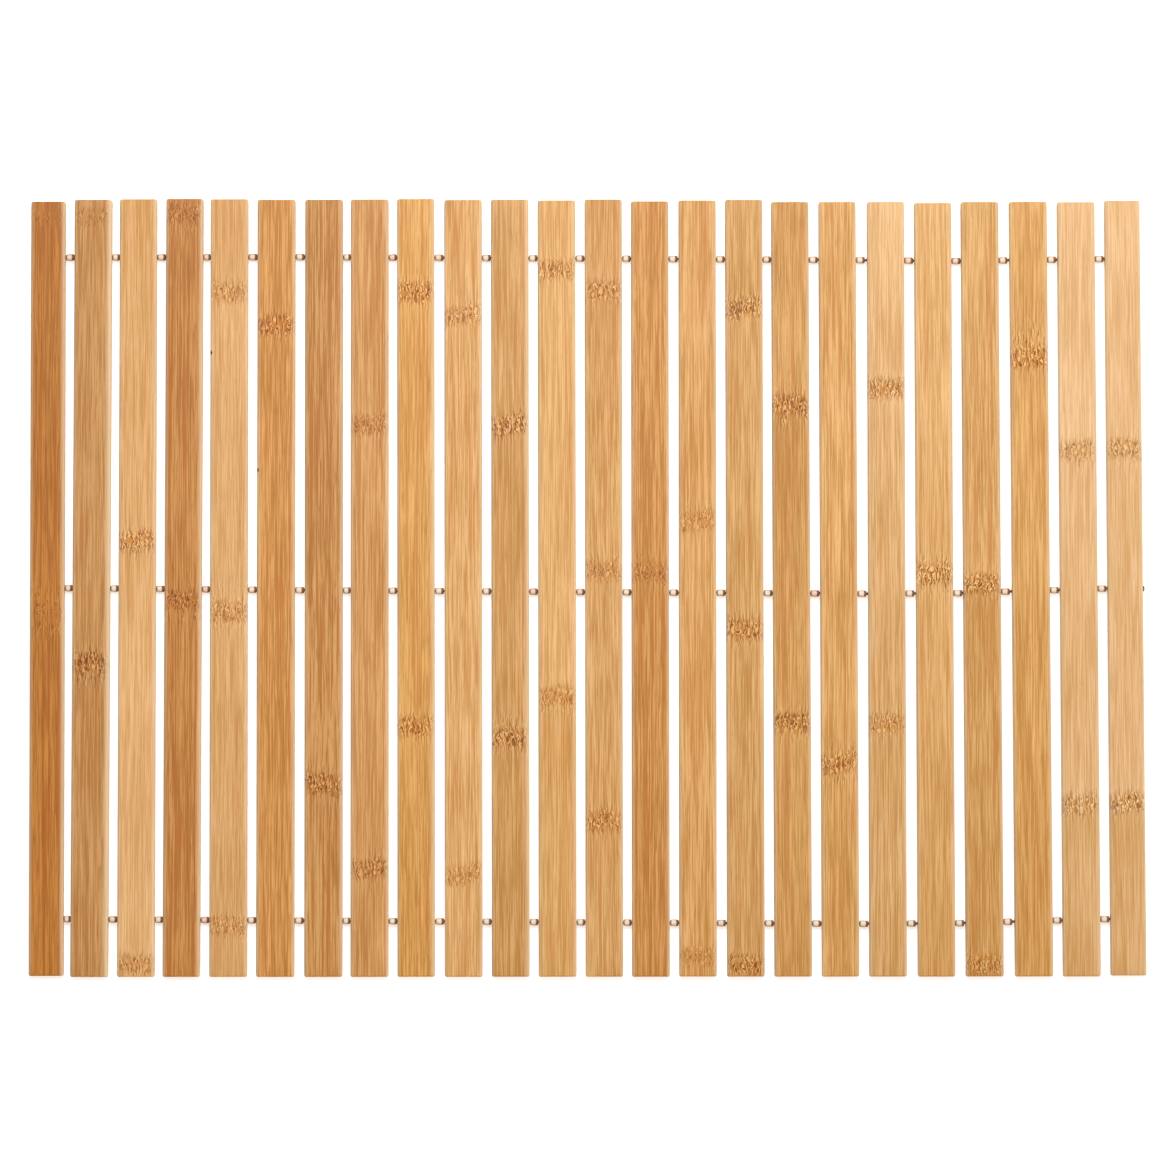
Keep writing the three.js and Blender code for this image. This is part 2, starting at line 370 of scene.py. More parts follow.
def blend_colours(tree, share, first, second):
    """first, turning into second as share goes from 0 to 1"""
    node = add_node(tree, "ShaderNodeMix", {0: share, 6: first, 7: second}, data_type="RGBA")
    return node.outputs[2]


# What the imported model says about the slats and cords

class SlatPlace(NamedTuple):
    middle: Vector
    width: float
    length: float
    thickness: float
    lean: float


def middle_of(values):
    return (min(values) + max(values)) / 2


def slat_place(name):
    """A slat's middle on the ground, its sizes, and how far its upper end stands to the right"""
    end_reach = 3 * MM
    low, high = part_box(name)
    corners = [vertex.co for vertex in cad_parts[name].data.vertices]
    upper_x = middle_of([corner.x for corner in corners if corner.y > high.y - end_reach])
    lower_x = middle_of([corner.x for corner in corners if corner.y < low.y + end_reach])
    lean = upper_x - lower_x
    middle = Vector(((low.x + high.x) / 2, (low.y + high.y) / 2, low.z))
    return SlatPlace(middle, high.x - low.x - abs(lean), high.y - low.y, high.z - low.z, lean)


SLATS = [slat_place(name) for name in SLAT_NAMES]


def side_x(slat, side, y):
    """Where a slat's left (-1) or right (1) side is at y"""
    return slat.middle.x + side * slat.width / 2 + slat.lean * (y - slat.middle.y) / slat.length


def gap_middle(number, y):
    """Half way between a slat and the next one"""
    return (side_x(SLATS[number], 1, y) + side_x(SLATS[number + 1], -1, y)) / 2


def cord_route(name):
    """The points where a cord ends or bends: its two ends, and the middle of each gap"""
    reach = 3 * MM
    low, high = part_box(name)
    corners = [vertex.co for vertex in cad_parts[name].data.vertices]
    height = (low.z + high.z) / 2

    def point_at(x):
        near = [corner.y for corner in corners if abs(corner.x - x) < reach]
        return Vector((x, middle_of(near), height))

    row_y = (low.y + high.y) / 2
    bends = [point_at(gap_middle(number, row_y)) for number in range(len(SLATS) - 1)]
    return [point_at(low.x), *bends, point_at(high.x)]


ROUTES = {name: cord_route(name) for name in CORD_NAMES}


def cord_y(name, x):
    """How far up a cord lies at x"""
    route = ROUTES[name]
    for start, end in zip(route, route[1:]):
        if start.x <= x <= end.x:
            return start.lerp(end, (x - start.x) / (end.x - start.x)).y
    return route[0].y if x < route[0].x else route[-1].y


# Making a piece from a geometry node tree

def kept(tree, geometry, name, kind, value):
    """The geometry with a value of its own at each point, under that name"""
    node = add_node(tree, "GeometryNodeStoreNamedAttribute",
                    {"Geometry": geometry, "Name": name, "Value": value}, data_type=kind, domain="POINT")
    return node.outputs[0]


def number_at(tree, name):
    """The number that each point has under that name"""
    node = add_node(tree, "GeometryNodeInputNamedAttribute", {"Name": name}, data_type="FLOAT")
    return node.outputs[0]


def position_of(tree):
    return add_node(tree, "GeometryNodeInputPosition").outputs[0]


def moved_to(tree, geometry, position):
    node = add_node(tree, "GeometryNodeSetPosition", {"Geometry": geometry, "Position": position})
    return node.outputs[0]


def transformed(tree, geometry, **changes):
    """The geometry with a Translation, a Rotation or both"""
    return add_node(tree, "GeometryNodeTransform", {"Geometry": geometry, **changes}).outputs[0]


def finish_tree(tree, geometry, material, result):
    """Ends a tree with its plain geometry in its material"""
    real = add_node(tree, "GeometryNodeRealizeInstances", {"Geometry": geometry})
    finished = add_node(tree, "GeometryNodeSetMaterial",
                        {"Geometry": real.outputs[0], "Material": material})
    tree.links.new(finished.outputs[0], result["Geometry"])


def mesh_of(name, points, edges, attribute, values):
    """A mesh of points and edges, with a number of its own at each point"""
    mesh = bpy.data.meshes.new(name)
    mesh.from_pydata(points, edges, [])
    mesh.attributes.new(attribute, "FLOAT", "POINT").data.foreach_set("value", values)
    return mesh


def add_object(name, data):
    """An object in the scene"""
    thing = bpy.data.objects.new(name, data)
    bpy.context.scene.collection.objects.link(thing)
    return thing


def make_piece(name, tree, values, mesh=None):
    """An object with the tree's result as its plain mesh"""
    piece = add_object(name, mesh or bpy.data.meshes.new(name))
    modifier = piece.modifiers.new(tree.name, "NODES")
    modifier.node_group = tree
    for socket in tree.interface.items_tree:
        if socket.in_out == "INPUT" and socket.name in values:
            modifier[socket.identifier] = values[socket.name]
    graph = bpy.context.evaluated_depsgraph_get()
    made = bpy.data.meshes.new_from_object(
        piece.evaluated_get(graph), preserve_all_data_layers=True, depsgraph=graph)
    piece.modifiers.clear()
    piece.data = made
    made.name = name
    return piece


def dress(piece, node):
    """Puts a piece in its CAD node's place"""
    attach(piece, BODY)
    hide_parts(node)


# The slats

def edge_spacing_group():
    """Spreads a place from -1 to 1 over a size, closely over the rounding at each end"""
    tree, given, result = new_tree(
        "edge spacing", "Geometry",
        {"Float": ("Place", "Half Size", "Rounding", "Flat Share")}, {"Float": ("Position",)})
    calc = calculator(tree)
    distance = calc("ABSOLUTE", given["Place"])
    flat_part = calc("DIVIDE", distance, given["Flat Share"], clamp=True)
    flat_size = calc("SUBTRACT", given["Half Size"], given["Rounding"])
    past_flat = calc("SUBTRACT", distance, given["Flat Share"])
    round_part = calc("DIVIDE", past_flat, calc("SUBTRACT", 1.0, given["Flat Share"]), clamp=True)
    round_size = calc("MULTIPLY", calc("TANGENT", calc("MULTIPLY", round_part, math.pi / 4)),
                      given["Rounding"])
    position = calc("MULTIPLY_ADD", flat_part, flat_size, round_size)
    signed = calc("MULTIPLY", calc("SIGN", given["Place"]), position)
    tree.links.new(signed, result["Position"])
    return tree


def rounded_bar(tree, half_size, rounding, spacing):
    """A block with rounded edges about the origin, with more faces near its edges"""
    calc = vector_calculator(tree)
    grid = {"X": 13, "Y": 47, "Z": 9}
    rounding_steps = 3
    block = add_node(tree, "GeometryNodeMeshCube", {
        "Size": (2, 2, 2), "Vertices X": grid["X"], "Vertices Y": grid["Y"], "Vertices Z": grid["Z"]})
    place = split(tree, position_of(tree))
    sizes = split(tree, half_size)
    spread = []
    for axis, count in grid.items():
        flat_share = 1 - 2 * rounding_steps / (count - 1)
        node = add_node(tree, "GeometryNodeGroup", {
            "Place": place[axis], "Half Size": sizes[axis], "Rounding": rounding,
            "Flat Share": flat_share}, node_tree=spacing)
        spread.append(node.outputs[0])
    position = vector_of(tree, *spread)
    inner = calc("SUBTRACT", half_size, vector_of(tree, rounding, rounding, rounding))
    core = calc("MAXIMUM", calc("MINIMUM", position, inner), calc("MULTIPLY", inner, (-1, -1, -1)))
    outwards = calc("NORMALIZE", calc("SUBTRACT", position, core))
    return moved_to(tree, block.outputs[0], calc("ADD", core, scaled(tree, outwards, rounding)))


ALONG_X = (0, math.pi / 2, 0)    # turns a piece that is made along Z
HOLE_NAMES = ("Upper", "Middle", "Lower")
HOLE_SIDES = 24
SEAT_SIDES = 32
DRILL_REACH = 1.2    # of the slat's width


def slat_tree():
    """A bamboo slat with its holes, in its place in the mat"""
    tree, given, result = new_tree(
        "bamboo slat", "Geometry",
        {"Float": ("Width", "Length", "Thickness", "Rounding", "Hole Radius", "Seat Radius", "Seat Side",
                   "Turn", *(name + part for name in HOLE_NAMES for part in (" Hole", " Seat"))),
         "Vector": ("Place",), "Material": ("Finish",)},
        {"Geometry": ("Geometry",)})
    calc = calculator(tree)
    half_size = vector_of(tree, *(calc("MULTIPLY", given[name], 0.5)
                                  for name in ("Width", "Length", "Thickness")))
    bar = rounded_bar(tree, half_size, given["Rounding"], edge_spacing_group())
    drilled = add_node(tree, "GeometryNodeMeshBoolean", {"Mesh 1": bar},
                       operation="DIFFERENCE", solver="MANIFOLD")
    face_x = calc("MULTIPLY", calc("MULTIPLY", given["Width"], 0.5), given["Seat Side"])
    for name in HOLE_NAMES:
        depth = given[name + " Seat"]
        cuts = (
            (given["Hole Radius"], calc("MULTIPLY", given["Width"], DRILL_REACH), 0.0, HOLE_SIDES),
            (given["Seat Radius"], calc("MULTIPLY", depth, 2.0), face_x, SEAT_SIDES),
        )
        for index, (radius, length, x, sides) in enumerate(cuts):
            drill = add_node(tree, "GeometryNodeMeshCylinder",
                             {"Vertices": sides, "Radius": radius, "Depth": length})
            cut = transformed(tree, drill.outputs[0], Rotation=ALONG_X,
                              Translation=vector_of(tree, x, given[name + " Hole"], 0.0))
            if index == 1:
                wanted = calc("GREATER_THAN", depth, 0.0)
                cut = add_node(tree, "GeometryNodeSwitch", {"Switch": wanted, "True": cut},
                               input_type="GEOMETRY").outputs[0]
            tree.links.new(cut, drilled.inputs["Mesh 2"])

    millimetres = scaled(tree, position_of(tree), 1 / MM)
    marked = kept(tree, drilled.outputs[0], "grain", "FLOAT_VECTOR", millimetres)
    placed = transformed(tree, marked, Translation=given["Place"],
                         Rotation=vector_of(tree, 0.0, 0.0, given["Turn"]))
    finish_tree(tree, placed, given["Finish"], result)
    return tree


def smooth(mesh, sharpest=35):
    """Shades a mesh smooth, but for edges sharper than that many degrees"""
    mesh.shade_smooth()
    mesh.set_sharp_from_angle(angle=math.radians(sharpest))


def seat_depths(number, sizes):
    """How deep a slat's knot seats are, and on which side. Only the two end slats have any."""
    last = len(SLATS) - 1
    if number not in (0, last):
        return 0.0, dict.fromkeys(HOLE_NAMES, 0.0)
    side = -1.0 if number == 0 else 1.0
    slat = SLATS[number]
    depths = {}
    for hole, cord in zip(HOLE_NAMES, CORD_NAMES):
        tip = ROUTES[cord][0 if number == 0 else -1]
        face = side_x(slat, side, tip.y)
        proud = (tip.x - face) * side
        depths[hole] = sizes.knot_length - proud + sizes.clearance
    return side, depths


def make_slat(number, tree, context):
    sizes = context.scene.mat_sizes
    slat = SLATS[number]
    name = SLAT_NAMES[number]
    side, depths = seat_depths(number, sizes)
    values = {
        "Width": slat.width, "Length": slat.length, "Thickness": slat.thickness,
        "Rounding": sizes.edge_rounding, "Hole Radius": sizes.hole_radius,
        "Seat Radius": sizes.knot_seat_radius, "Seat Side": side,
        "Place": slat.middle + Vector((0, 0, slat.thickness / 2)),
        "Turn": -math.atan(slat.lean / slat.length),
        "Finish": bamboo_material(number, context),
    }
    for hole, cord in zip(HOLE_NAMES, CORD_NAMES):
        values[hole + " Hole"] = cord_y(cord, slat.middle.x) - slat.middle.y
        values[hole + " Seat"] = depths[hole]
    piece = make_piece("bamboo_" + name, tree, values)
    smooth(piece.data)
    dress(piece, name)


# The finish of the bamboo

def linear(channel):
    """A screen colour's channel as light"""
    return channel / 12.92 if channel <= 0.04045 else ((channel + 0.055) / 1.055) ** 2.4


WHITEST = 0.95    # the share of light that the palest surface gives back


def light_of(colour, factors=(1, 1, 1)):
    """A screen colour as light, with its red, green and blue each made stronger or weaker"""
    return tuple(min(linear(c) * factor, WHITEST) for c, factor in zip(colour, factors)) + (1.0,)


SEED_STEP = (7.31, 3.17, 5.73)    # how far apart in the noise two seeds lie
LAYER_SEED_STEP = 11.3            # between the seeds of two layers of fibre


def scaled_grain(tree, grain, across, along, seed):
    """Grain coordinates with noise of that many changes to the millimetre, away from other seeds"""
    calc = vector_calculator(tree)
    stretched = calc("MULTIPLY", grain, (across, along, across))
    return calc("ADD", stretched, scaled(tree, SEED_STEP, seed))


def fibre_group():
    """The fibres of bamboo, from its grain coordinates in millimetres"""
    tree, given, result = new_tree(
        "bamboo fibres", "Shader",
        {"Vector": ("Grain",), "Float": ("Seed",)}, {"Float": [layer.name for layer in FIBRE_LAYERS]})
    for index, layer in enumerate(FIBRE_LAYERS):
        seed = calculator(tree)("ADD", given["Seed"], index * LAYER_SEED_STEP)
        place = scaled_grain(tree, given["Grain"], layer.across, layer.along, seed)
        mask = ramp(tree, noise_at(tree, place, layer.detail), layer.low, layer.high)
        tree.links.new(mask, result[layer.name])
    return tree


# The thin marks in a joint, in millimetres: the room that each has and the size of the dark part.
# A painted highlight of the same size lies to the right of the dark one, as though the mark stood in
# relief lit from the right.

class JointMarks(NamedTuple):
    across: float
    along: float
    width: float
    length: float


DASHES = JointMarks(1.8, 4.8, 0.95, 4.6)
FLAMES = JointMarks(2.0, 13.0, 0.9, 11.0)
MARK_SPREAD = 0.75           # how far the marks stray from even rows, from 0 to 1
MARK_EDGE = (1.15, 0.60)     # where a mark starts and where it is full, in parts of its size
MARK_CHANCE = (-0.4, 0.5)    # a mark whose chance is past the second number has its full strength
BAND_EDGE = (9.0, 3.0)       # in mm from the joint, where the band of dashes starts and is full
TONE_EDGE = (90.0, 6.0)      # in mm from the joint, where its change of tone starts and is full
STEP_REACH = 4.0             # in mm, how far the darker tone takes each way to turn lighter
TONE_OF_STEP = 0.025         # the change of tone that makes a step of 1 in brightness
SLANT_WIDTH = 25.0           # in mm, the width of a slat that a joint's slant is for
# How strongly the long flames show: the dark marks, and the painted highlights beside them
DARK_FLAME_SHARE = 0.85
HIGHLIGHT_FLAME_SHARE = 0.90


# How the joints and their marks wander: how often in a millimetre, and how far in all, in mm

class Sway(NamedTuple):
    across: float
    along: float
    size: float


JOINT_WAVE = Sway(0.14, 0.01, 9.0)
JOINT_RIPPLE = Sway(0.70, 0.01, 2.8)
FLAME_BEND = Sway(0.45, 0.20, 5.0)
DASH_BEND = Sway(0.60, 0.35, 3.0)


def joint_marks(tree, place, seed, marks):
    """Masks of the dark marks and of their painted highlights at a place in millimetres"""
    calc = vector_calculator(tree)
    in_cells = calc("MULTIPLY", place, (1 / marks.across, 1 / marks.along, 0))
    moved = calc("ADD", in_cells, scaled(tree, (SEED_STEP[0], 1, 0), seed))
    cells = add_node(tree, "ShaderNodeTexVoronoi",
                     {"Vector": moved, "Scale": 1.0, "Randomness": MARK_SPREAD},
                     voronoi_dimensions="2D")
    offset = calc("SUBTRACT", moved, cells.outputs["Position"])
    chance = split(tree, cells.outputs["Color"])
    stretch = (2 * marks.across / marks.width, 2 * marks.along / marks.length, 0)
    parts = []
    # The dark mark on the left, and its painted highlight on the right
    for side, strength in ((-1, chance[0]), (1, chance[1])):
        from_part = calc("SUBTRACT", offset, (side * marks.width / marks.across / 2, 0, 0))
        reach = add_node(tree, "ShaderNodeVectorMath", {0: calc("MULTIPLY", from_part, stretch)},
                         operation="LENGTH").outputs["Value"]
        parts.append(calculator(tree)("MULTIPLY", ramp(tree, reach, *MARK_EDGE),
                                      ramp(tree, strength, *MARK_CHANCE)))
    return parts


# The second mask is the painted highlight beside each dark mark
JOINT_MASKS = ("Dark", "Bright", "Nearness", "Band", "Tone")


def joint_group():
    """The marks of one joint: a band of short dashes, flames above and below it, a change of tone"""
    tree, given, result = new_tree(
        "bamboo joint", "Shader",
        {"Vector": ("Grain",),
         "Float": ("Place", "Strength", "Dashes", "Up", "Down", "Slant", "Step", "Seed")},
        {"Float": JOINT_MASKS})
    calc = calculator(tree)
    seed = given["Seed"]
    grain = given["Grain"]
    x, y, z = split(tree, grain)

    def swaying(sway, step):
        place = scaled_grain(tree, grain, sway.across, sway.along, calc("ADD", seed, step))
        return calc("MULTIPLY", calc("SUBTRACT", noise_at(tree, place), 0.5), sway.size)

    rise = calc("MULTIPLY_ADD", x, calc("DIVIDE", given["Slant"], SLANT_WIDTH),
                calc("ADD", swaying(JOINT_WAVE, 0.0), swaying(JOINT_RIPPLE, 1.0)))
    height = calc("SUBTRACT", calc("SUBTRACT", y, given["Place"]), rise)
    distance = calc("ABSOLUTE", height)
    above = calc("DIVIDE", height, given["Up"], clamp=True)
    below = calc("DIVIDE", calc("MULTIPLY", height, -1.0), given["Down"], clamp=True)
    nearness = ramp(tree, calc("ADD", above, below), 1.0, 0.0)
    band = ramp(tree, distance, *BAND_EDGE)

    bend = calc("MULTIPLY_ADD", swaying(FLAME_BEND, 2.0), nearness,
                calc("MULTIPLY", swaying(DASH_BEND, 3.0), band))
    bent = vector_of(tree, calc("ADD", x, bend), height, z)
    dark_dashes, highlight_dashes = joint_marks(tree, bent, calc("ADD", seed, 4.0), DASHES)
    dark_flames, highlight_flames = joint_marks(tree, bent, calc("ADD", seed, 5.0), FLAMES)
    in_band = calc("MULTIPLY", band, given["Dashes"])

    def together(dashes, flames, flame_share):
        faded = calc("MULTIPLY", calc("MULTIPLY", flames, nearness), flame_share)
        return calc("MAXIMUM", calc("MULTIPLY", dashes, in_band), faded)

    dark = together(dark_dashes, dark_flames, DARK_FLAME_SHARE)
    # Painted highlight beside each dark mark, as though the mark stood in relief lit from the right
    highlight = together(highlight_dashes, highlight_flames, HIGHLIGHT_FLAME_SHARE)
    side = calc("MULTIPLY", ramp(tree, height, -STEP_REACH, STEP_REACH, -0.5, 0.5), given["Step"])
    tone = calc("MULTIPLY", side, ramp(tree, distance, *TONE_EDGE))
    for name, value in (("Dark", dark), ("Bright", highlight), ("Nearness", nearness), ("Band", in_band)):
        tree.links.new(calc("MULTIPLY", value, given["Strength"], clamp=True), result[name])
    tree.links.new(tone, result["Tone"])
    return tree


def shared_group(name, maker):
    """A node group, made the first time that it is asked for"""
    return bpy.data.node_groups.get(name) or maker()


def new_material(name):
    """An empty node material with its Principled shader"""
    material = bpy.data.materials.new(name)
    material.use_nodes = True
    return material, material.node_tree, material.node_tree.nodes["Principled BSDF"]


def join_shader(tree, shader, colour, roughness, height, relief):
    """Gives the shader its colour and roughness, and a surface that rises and falls by relief"""
    bump = add_node(tree, "ShaderNodeBump", {"Height": height, "Distance": relief}).outputs[0]
    for name, value in (("Base Color", colour), ("Roughness", roughness), ("Normal", bump)):
        tree.links.new(value, shader.inputs[name])


def attribute(tree, name, output):
    """What a piece keeps at each point under that name, as a Vector or as a number (Fac)"""
    return add_node(tree, "ShaderNodeAttribute", attribute_name=name).outputs[output]


# What each mark does to the red, green and blue of a slat's own colour
DARK_FIBRE = (0.74, 0.63, 0.40)
LIGHT_FIBRE = (1.15, 1.24, 1.56)
STREAK = (0.80, 0.58, 0.36)
PORE = (0.62, 0.46, 0.30)
JOINT_MARK = (0.34, 0.13, 0.01)
# Painted highlight beside each dark joint mark
JOINT_HIGHLIGHT = (1.30, 1.52, 1.90)
JOINT_WASH = (0.80, 0.57, 0.24)

# How much of the bamboo each covers where it is strongest
DASH_SHARE = 0.6
PORE_SHARE = 0.3
WASH_SHARE = 0.90
# Painted highlight beside the dark joint marks
JOINT_HIGHLIGHT_SHARE = 0.85
MARK_SHARE = 0.9
# Painted shade along the left edge
EDGE_SHADE_SHARE = 0.36

EDGE_SOFTNESS = 2.05       # in mm, how far the painted highlight along the right edge fades each way
EDGE_SHADE_REACH = (2.7, 0.6)     # in mm from the left edge, where the painted shade starts and where it is strongest


def edge_highlight_share(width):
    """How strong the painted highlight along a right edge of that width in mm is, from 0 to 1: the
    wider, the stronger
    """
    return min(0.60 + 0.08 * width, 0.80)


def slat_colour(look, colours, factors):
    warm = (1 + 0.3 * look.warmth, 1, 1 - look.warmth)
    tone = getattr(colours, look.tone)
    return light_of(tone, tuple(look.shade * w * f for w, f in zip(warm, factors)))


def joint_masks(tree, grain, number, seed):
    """The masks of all of a slat's joints together"""
    calc = calculator(tree)
    together = {}
    for index, joint in enumerate(row for row in JOINTS if row.slat == number + 1):
        node = add_node(tree, "ShaderNodeGroup", {
            "Grain": grain, "Place": joint.place - SLATS[number].middle.y / MM,
            "Strength": joint.strength, "Dashes": joint.dashes, "Up": joint.up, "Down": joint.down,
            "Slant": joint.slant, "Step": joint.step * TONE_OF_STEP, "Seed": seed + 20 + 5 * index,
        }, node_tree=shared_group("bamboo joint", joint_group))
        for name in JOINT_MASKS:
            mask = node.outputs[name]
            if name in together:
                mask = calc("ADD" if name == "Tone" else "MAXIMUM", together[name], mask)
            together[name] = mask
    return together


def bamboo_material(number, context):
    """One slat's bamboo, with its own tone, fibres, joints and worn edge"""
    colours = context.scene.mat_colours
    finish = context.scene.mat_finish
    look = SLAT_LOOKS[number]
    slat = SLATS[number]
    seed = number * 1.7 + 0.4
    material, tree, shader = new_material("bamboo " + SLAT_NAMES[number])
    calc = calculator(tree)
    grain = attribute(tree, "grain", "Vector")
    x, y = split(tree, grain)[:2]
    fibres = add_node(tree, "ShaderNodeGroup", {"Grain": grain, "Seed": seed},
                      node_tree=shared_group("bamboo fibres", fibre_group)).outputs
    joints = joint_masks(tree, grain, number, seed)

    tone = calc("SUBTRACT", weighted(tree, fibres, TONE_WEIGHTS), 0.5)
    tone = calc("MULTIPLY_ADD", tone, finish.fibre_contrast * look.fibres, 0.5)
    rise = look.rise * TONE_OF_STEP / (slat.length / 2 / MM)
    shift = calc("MULTIPLY_ADD", y, rise, joints["Tone"])
    tone = calc("ADD", shift, tone, clamp=True)
    far = calc("SUBTRACT", 1.0, joints["Nearness"])
    streak = calc("MULTIPLY", fibres["Streak"], look.streaks)
    dash = calc("MULTIPLY", fibres["Dash"], DASH_SHARE * look.streaks)
    mark = calc("MULTIPLY", joints["Dark"], MARK_SHARE * finish.joint_contrast, clamp=True)
    colour = blend_colours(tree, tone, slat_colour(look, colours, DARK_FIBRE),
                           slat_colour(look, colours, LIGHT_FIBRE))
    for share, factors in (
            (calc("MULTIPLY", streak, far), STREAK),
            (calc("MULTIPLY", dash, far), PORE),
            (calc("MULTIPLY", fibres["Pore"], PORE_SHARE), PORE),
            (calc("MULTIPLY", joints["Band"], WASH_SHARE), JOINT_WASH),
            # Painted highlight beside the dark joint marks
            (calc("MULTIPLY", joints["Bright"], JOINT_HIGHLIGHT_SHARE), JOINT_HIGHLIGHT),
            (mark, JOINT_MARK)):
        colour = blend_colours(tree, share, colour, slat_colour(look, colours, factors))

    half_width = slat.width / 2 / MM
    # Painted highlight: a pale cream strip along the right edge, where the light from the right catches
    # it
    edge = half_width - look.highlight_width
    edge_highlight = ramp(tree, x, edge - EDGE_SOFTNESS, edge + EDGE_SOFTNESS)
    edge_highlight = calc("MULTIPLY", edge_highlight, edge_highlight_share(look.highlight_width))
    # Painted shade: a grey brown strip along the left edge, which faces away from the light from the
    # right
    left_edge_shade = ramp(tree, x, *(reach - half_width for reach in EDGE_SHADE_REACH))
    colour = blend_colours(tree, edge_highlight, colour, light_of(colours.edge_highlight))
    colour = blend_colours(tree, calc("MULTIPLY", left_edge_shade, EDGE_SHADE_SHARE), colour, light_of(colours.edge_shade))
    if number + 1 in NICK_PLACES:
        nick = nick_mask(tree, x, y, -half_width, NICK_PLACES[number + 1] - slat.middle.y / MM)
        colour = blend_colours(tree, nick, colour, light_of(colours.nick))

    rough = weighted(tree, fibres, ROUGHNESS_WEIGHTS, finish.roughness)
    height = calc("SUBTRACT", weighted(tree, fibres, HEIGHT_WEIGHTS), joints["Dark"])
    join_shader(tree, shader, colour, rough, height, finish.relief)
    shader.inputs["Specular IOR Level"].default_value = 0.22
    shader.inputs["Coat Weight"].default_value = 0.06
    shader.inputs["Coat Roughness"].default_value = 0.30
    return material


def nick_mask(tree, x, y, edge, place):
    """1 inside a small nick on the slat's edge, and 0 outside"""
    calc = calculator(tree)
    width, length = 1.4, 1.7
    across = calc("DIVIDE", calc("SUBTRACT", x, edge), width)
    along = calc("DIVIDE", calc("SUBTRACT", y, place), length)
    distance = calc("ADD", calc("POWER", across, 2.0), calc("POWER", along, 2.0))
    return ramp(tree, distance, 1.0, 0.55)


# The beads

def bead_tree():
    """Turned beads with a hole, one at each point, as long as the point says"""
    tree, given, result = new_tree(
        "beads", "Geometry",
        {"Geometry": ("Geometry",), "Float": ("Length", "Radius", "End Radius", "Hole Radius"),
         "Int": ("Seed",), "Material": ("Finish",)},
        {"Geometry": ("Geometry",)})
    calc = calculator(tree)
    squareness = 0.5
    outline_points = 20
    sides = 24
    outline = add_node(tree, "GeometryNodeCurvePrimitiveCircle",
                       {"Resolution": outline_points, "Radius": 1.0})
    x, y, z = split(tree, position_of(tree))

    def squared(value, size):
        bent = calc("POWER", calc("ABSOLUTE", value), squareness)
        return calc("MULTIPLY", calc("MULTIPLY", bent, calc("SIGN", value)), size)

    wall = calc("SUBTRACT", given["End Radius"], given["Hole Radius"])
    half_length = calc("MULTIPLY", given["Length"], 0.5)
    section = moved_to(tree, outline.outputs[0], vector_of(
        tree, squared(x, calc("MULTIPLY", wall, 0.5)), squared(y, half_length), 0.0))
    ring_radius = calc("MULTIPLY", calc("ADD", given["End Radius"], given["Hole Radius"]), 0.5)
    ring = add_node(tree, "GeometryNodeCurvePrimitiveCircle",
                    {"Resolution": sides, "Radius": ring_radius})
    turned = add_node(tree, "GeometryNodeCurveToMesh",
                      {"Curve": ring.outputs[0], "Profile Curve": section})

    from_axis = calc("SQRT", calc("ADD", calc("POWER", x, 2.0), calc("POWER", y, 2.0)))
    past_hole = calc("SUBTRACT", from_axis, given["Hole Radius"])
    bulge = calc("DIVIDE", calc("SUBTRACT", given["Radius"], given["End Radius"]), wall)
    from_middle = calc("POWER", calc("DIVIDE", z, half_length), 2.0)
    growth = calc("MULTIPLY", calc("MULTIPLY", bulge, calc("SUBTRACT", 1.0, from_middle)), past_hole)
    stretch = calc("DIVIDE", calc("ADD", from_axis, growth), from_axis)
    barrel = moved_to(tree, turned.outputs[0], vector_of(
        tree, calc("MULTIPLY", x, stretch), calc("MULTIPLY", y, stretch), z))
    millimetres = scaled(tree, position_of(tree), 1 / MM)
    bead = transformed(tree, kept(tree, barrel, "turning", "FLOAT_VECTOR", millimetres),
                       Rotation=ALONG_X)

    def chance(seed):
        node = add_node(tree, "FunctionNodeRandomValue", {"Seed": seed}, data_type="FLOAT")
        return node.outputs["Value"]

    points = kept(tree, given["Geometry"], "bead_tone", "FLOAT", chance(given["Seed"]))
    roll = calc("MULTIPLY", chance(calc("ADD", given["Seed"], 1.0)), 2 * math.pi)
    longer = calc("DIVIDE", number_at(tree, "bead_length"), given["Length"])
    strung = add_node(tree, "GeometryNodeInstanceOnPoints", {
        "Points": points, "Instance": bead, "Rotation": vector_of(tree, roll, 0.0, 0.0),
        "Scale": vector_of(tree, longer, 1.0, 1.0)})
    finish_tree(tree, strung.outputs[0], given["Finish"], result)
    return tree


def bead_points(cord, sizes):
    """The middle of each bead on a cord, and the room for it between its two slats"""
    middles, lengths = [], []
    for number, bend in enumerate(ROUTES[cord][1:-1]):
        start = side_x(SLATS[number], 1, bend.y) + sizes.clearance
        room = side_x(SLATS[number + 1], -1, bend.y) - sizes.clearance - start
        length = min(sizes.bead_length, room)
        middles.append((start + length / 2, bend.y, bend.z))
        lengths.append(length)
    return mesh_of("bead places", middles, [], "bead_length", lengths)


# Each bead's tone lies between cream and pink, with lighter fibres, as shares of its own colour
CREAM = (0.98, 0.97, 0.90)
PINK = (0.92, 0.72, 0.66)
BEAD_FIBRE = (1.1, 1.1, 1.1)
BEAD_GRAIN = (2.2, 2.2, 0.25)    # how often the fibres change in a millimetre


# The brown ends of a bead, in mm from its middle, and how far each covers the wood. The brown is partly
# end grain and partly painted shade, where the bead sits in the shade of the slats beside it.

class ShadedRim(NamedTuple):
    start: float
    full: float
    share: float


SHADED_RIMS = (ShadedRim(-1.5, -2.4, 0.75), ShadedRim(0.8, 1.5, 0.95))
OUTLINE_SHADE_SHARE = 0.65    # how much painted shade a bead has where its side turns away from the view


